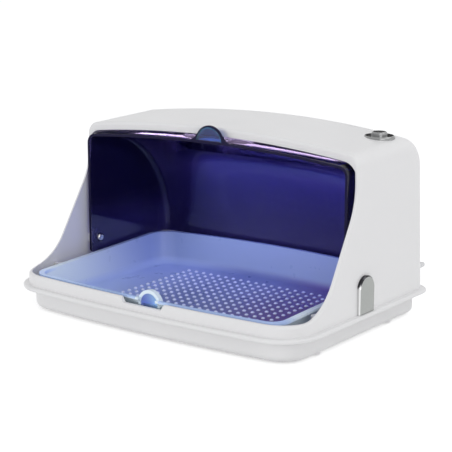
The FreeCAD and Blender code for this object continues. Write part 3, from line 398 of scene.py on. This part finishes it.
tint = blend(tree, ramp(tree, speckle(tree, 12.0), *WORN_SHARE), tint, WORN_PALE)
tree.links.new(tint, body.inputs["Base Color"])
vary(tree, body, "Roughness", TRAY_GLOSS, scale=60.0)
dress(tray_plastic, "tray")


# Push button: a round cap that slides in a low ring on the right of the roof, over the switch. Both are
# moulded plastic with a bright chrome plating.
CHROME = ((0.26, 0.263, 0.265), (0.30, 0.303, 0.305))
CHROME_GLOSS = (0.05, 0.12)
chrome, tree, body = new_finish("chrome", Metallic=1.0)
vary(tree, body, "Base Color", CHROME, scale=140.0)
vary(tree, body, "Roughness", CHROME_GLOSS, scale=90.0)
dress(chrome, "button_bezel", "power_button")


# Pivot covers: arched plates of the same plating, set on the hood's sides over the cover's pivots, with a
# bevel round the arch. Their brightness is painted by which way each spot faces: the bevel is painted bright
# as a painted highlight, its upper part near-black as a painted dark reflection, and the flat face mid grey.
PLATE_FACE, PLATE_BEVEL_HIGHLIGHT, PLATE_DARK_REFLECTION = (0.32, 0.33, 0.32), (0.66, 0.66, 0.66), (0.04, 0.04, 0.045)
PLATE_GLOSS = (0.12, 0.2)
BEVEL_UPWARD = (0.1, 0.4)
FACE_OUTWARD = (0.75, 0.95)
plate_chrome, tree, body = new_finish("plate_chrome", Metallic=1.0)
facing = shader(tree, "SeparateXYZ")
tree.links.new(shader(tree, "TexCoord").outputs["Normal"], facing.inputs[0])
# Painted reflection: bright on the bevel, near-black where the bevel faces upward.
bevel_reflection = blend(tree, along(tree, facing.outputs["Z"], *BEVEL_UPWARD), PLATE_BEVEL_HIGHLIGHT, PLATE_DARK_REFLECTION)
flat = along(tree, combine(tree, "ABSOLUTE", facing.outputs["X"]), *FACE_OUTWARD)
tree.links.new(blend(tree, flat, bevel_reflection, PLATE_FACE), body.inputs["Base Color"])
vary(tree, body, "Roughness", PLATE_GLOSS, scale=90.0)
dress(plate_chrome, "pivot_plate*")


# Screws and pins: plain steel, turned and tumbled. The screws hold the base, the ballast and the cover's
# pivots, and the pins are the contacts of the lamp and of the plug.
STEEL = ((0.58, 0.58, 0.60), (0.65, 0.65, 0.67))
STEEL_GLOSS = (0.18, 0.34)
steel, tree, body = new_finish("steel", Metallic=1.0)
vary(tree, body, "Base Color", STEEL, scale=400.0)
vary(tree, body, "Roughness", STEEL_GLOSS, scale=700.0)
dress(steel, "base_screw*", "ballast_screw*", "pivot_screw*", "lamp_pin*", "plug_pin*")


# Pivot washers: thin rings of natural nylon, stamped from sheet. Each lies between a cheek of the cover
# and the hood, on the pivot screw.
NYLON = ((0.72, 0.72, 0.70), (0.76, 0.76, 0.74))
NYLON_GLOSS = (0.4, 0.5)
nylon, tree, body = new_finish("nylon", IOR=1.5)
vary(tree, body, "Base Color", NYLON, scale=300.0)
vary(tree, body, "Roughness", NYLON_GLOSS, scale=500.0)
dress(nylon, "pivot_washer*")


# Lamp: a quartz tube with aluminium caps in front of a polished aluminium reflector. It is lit, with the
# faint blue-violet glow of a germicidal lamp, which falls on the tray, the back wall and the roof's edge.
TRAY_GLOW, TRAY_GLOW_POWER = (0.30, 0.34, 1.0), 0.07
BACK_GLOW, BACK_GLOW_POWER = (0.22, 0.20, 1.0), 0.025
BACK_GLOW_AIM = Vector((0, 0.02, -0.09))
ROOF_GLOW, ROOF_GLOW_POWER = (0.8, 0.62, 1.0), 0.08
ROOF_GLOW_PLACE = (0.0, 0.022, 0.1562)
ROOF_GLOW_AIM = (0.0, 0.022, 1.0)
ROOF_GLOW_SIDES = (0.22, 0.014)
UNSEEN = ("camera", "glossy", "transmission")
BRIGHT = ((0.79, 0.79, 0.81), (0.84, 0.84, 0.86))
BRIGHT_GLOSS = (0.16, 0.30)
QUARTZ = ((0.92, 0.94, 0.98), (0.95, 0.97, 1.0))

tube_low, tube_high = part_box("lamp_glass")
tube_middle = (tube_low + tube_high) / 2
tube_size = tube_high - tube_low
tube_sides = (tube_size.x, tube_size.y)
under_tube = tube_middle - Vector((0, 0, tube_size.z))
before_tube = under_tube - Vector((0, tube_size.y, 0))
area_lamp("tray_glow", before_tube, (0, 0, 0), tube_sides, TRAY_GLOW_POWER, TRAY_GLOW, UNSEEN)
area_lamp(
    "back_glow", under_tube, tube_middle + BACK_GLOW_AIM, tube_sides, BACK_GLOW_POWER, BACK_GLOW, UNSEEN)
area_lamp(
    "roof_glow", ROOF_GLOW_PLACE, ROOF_GLOW_AIM, ROOF_GLOW_SIDES, ROOF_GLOW_POWER, ROOF_GLOW, UNSEEN)

bright_metal, tree, body = new_finish("bright_metal", Metallic=1.0)
vary(tree, body, "Base Color", BRIGHT, scale=60.0)
vary(tree, body, "Roughness", BRIGHT_GLOSS, scale=120.0)
dress(bright_metal, "lamp_cap*", "reflector")
lamp_glass, tree, body = new_finish("lamp_glass", Roughness=0.04, IOR=1.46, Transmission_Weight=1.0)
vary(tree, body, "Base Color", QUARTZ, scale=50.0)
dress(lamp_glass, "lamp_glass")


# Electrical pieces: black moulded switches, terminal block and cord nut with a fine grain, and a ballast
# in a grey painted steel case. They sit inside the hood, behind and above the chamber.
INNER_BLACK = ((0.045, 0.045, 0.05), (0.06, 0.06, 0.065))
INNER_GLOSS = (0.42, 0.56)
INNER_GRAIN = 0.00003
BALLAST_GREY = ((0.50, 0.51, 0.52), (0.55, 0.56, 0.57))
BALLAST_GLOSS = (0.38, 0.5)
BALLAST_GRAIN = 0.00004


def grain(tree, body, depth, scale):
    """A fine bump by noise of that scale, with its full depth in metres."""
    bump = shader(tree, "Bump", Strength=1.0, Distance=depth)
    tree.links.new(speckle(tree, scale), bump.inputs["Height"])
    tree.links.new(bump.outputs["Normal"], body.inputs["Normal"])


inner_plastic, tree, body = new_finish("inner_plastic", IOR=1.5)
vary(tree, body, "Base Color", INNER_BLACK, scale=200.0)
vary(tree, body, "Roughness", INNER_GLOSS, scale=250.0)
grain(tree, body, INNER_GRAIN, scale=1500.0)
dress(inner_plastic, "push_switch", "interlock_switch", "terminal_block", "boot_nut")
ballast_paint, tree, body = new_finish("ballast_paint", IOR=1.5)
vary(tree, body, "Base Color", BALLAST_GREY, scale=150.0)
vary(tree, body, "Roughness", BALLAST_GLOSS, scale=250.0)
grain(tree, body, BALLAST_GRAIN, scale=900.0)
dress(ballast_paint, "ballast")


# Feet: four round pads of black rubber, moulded with a matt grain and set under the pan's corners.
# They keep the cabinet from sliding.
RUBBER = ((0.03, 0.03, 0.03), (0.05, 0.05, 0.05))
RUBBER_GLOSS = (0.68, 0.82)
RUBBER_GRAIN = 0.00005
foot_rubber, tree, body = new_finish("foot_rubber", IOR=1.5)
vary(tree, body, "Base Color", RUBBER, scale=500.0)
vary(tree, body, "Roughness", RUBBER_GLOSS, scale=300.0)
grain(tree, body, RUBBER_GRAIN, scale=1200.0)
dress(foot_rubber, "foot_*")


# Cord: round white two-core cable. It comes straight out of a tapered boot at the back, drops to the
# table and is wound in a tied two-layer coil, with a flat plug at its end.
CORD_WHITE = ((0.66, 0.66, 0.67), (0.70, 0.70, 0.71))
CORD_GLOSS = (0.34, 0.46)
CORD_R = 0.00225
CORD_ROUTE = [
    (0.1255, 0.106, 0.0315),
    (0.1255, 0.160, 0.0315),
    (0.082, 0.187, 0.012),
    (0.030, 0.1985, 0.0031),
]
COIL_CENTRE = (-0.022, 0.163, 0.0031)
COIL_STEP = 0.005
COIL_INNER_R = 0.018
COIL_TURNS_IN = 7
COIL_TURNS_OUT = 6
COIL_LEAD_IN = 0.0045
COIL_LEAD_OUT = 0.037
COIL_POINTS = 12

cord_plastic, tree, body = new_finish("cord_plastic", IOR=1.5)
vary(tree, body, "Base Color", CORD_WHITE, scale=80.0)
vary(tree, body, "Roughness", CORD_GLOSS, scale=400.0)
dress(cord_plastic, "cord_boot", "cord_tie", "plug_body")


def coil_points():
    """Half circles whose radius shrinks by half a step each, a half circle that climbs a step, then half
    circles that grow again. The control points stand a little outside, as far as the spline cuts inside."""
    top_r = COIL_INNER_R + COIL_TURNS_IN * COIL_STEP / 2
    radii = [top_r - k * COIL_STEP / 2 for k in range(COIL_TURNS_IN + 1)]
    radii += [COIL_INNER_R + (k + 1) * COIL_STEP / 2 for k in range(COIL_TURNS_OUT)]
    start = np.array(COIL_CENTRE) + (0, top_r, 0)
    rows = [start + (COIL_LEAD_IN, 0, 0)]
    middle_y, level = start[1] - radii[0], 0.0
    turn = np.arange(COIL_POINTS) / COIL_POINTS
    angle = math.pi * (turn + 0.5 / COIL_POINTS)
    outside = 1 / math.cos(math.pi / (2 * COIL_POINTS))
    for k, r in enumerate(radii):
        side = 1 if k % 2 == 0 else -1
        rise = turn if k == COIL_TURNS_IN else np.zeros(COIL_POINTS)
        x = start[0] - side * r * outside * np.sin(angle)
        y = middle_y + side * r * outside * np.cos(angle)
        rows += list(np.stack([x, y, start[2] + level + rise * COIL_STEP], -1))
        if k == COIL_TURNS_IN:
            level = COIL_STEP
        if k + 1 < len(radii):
            middle_y += side * (radii[k + 1] - r)
    side = 1 if len(radii) % 2 == 0 else -1
    end = np.array((start[0], middle_y + side * radii[-1], start[2] + level))
    rows.append(end + (-side * COIL_LEAD_OUT, 0, 0))
    return rows


cord_line = bpy.data.curves.new("mains_cord", "CURVE")
cord_line.dimensions = "3D"
cord_line.bevel_depth = CORD_R
cord_line.bevel_resolution = 5
cord_line.resolution_u = 8
cord_line.use_fill_caps = True
spline = cord_line.splines.new("NURBS")
cord_points = np.array([*CORD_ROUTE, *coil_points()])
spline.points.add(len(cord_points) - 1)
spline.points.foreach_set("co", np.c_[cord_points, np.ones(len(cord_points))].ravel())
spline.order_u = 3
spline.use_endpoint_u = True
cord_line.materials.append(cord_plastic)
cord = add_piece("mains_cord", cord_line)
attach(cord, "cabinet")
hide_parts("power_cord", "cord_coil")
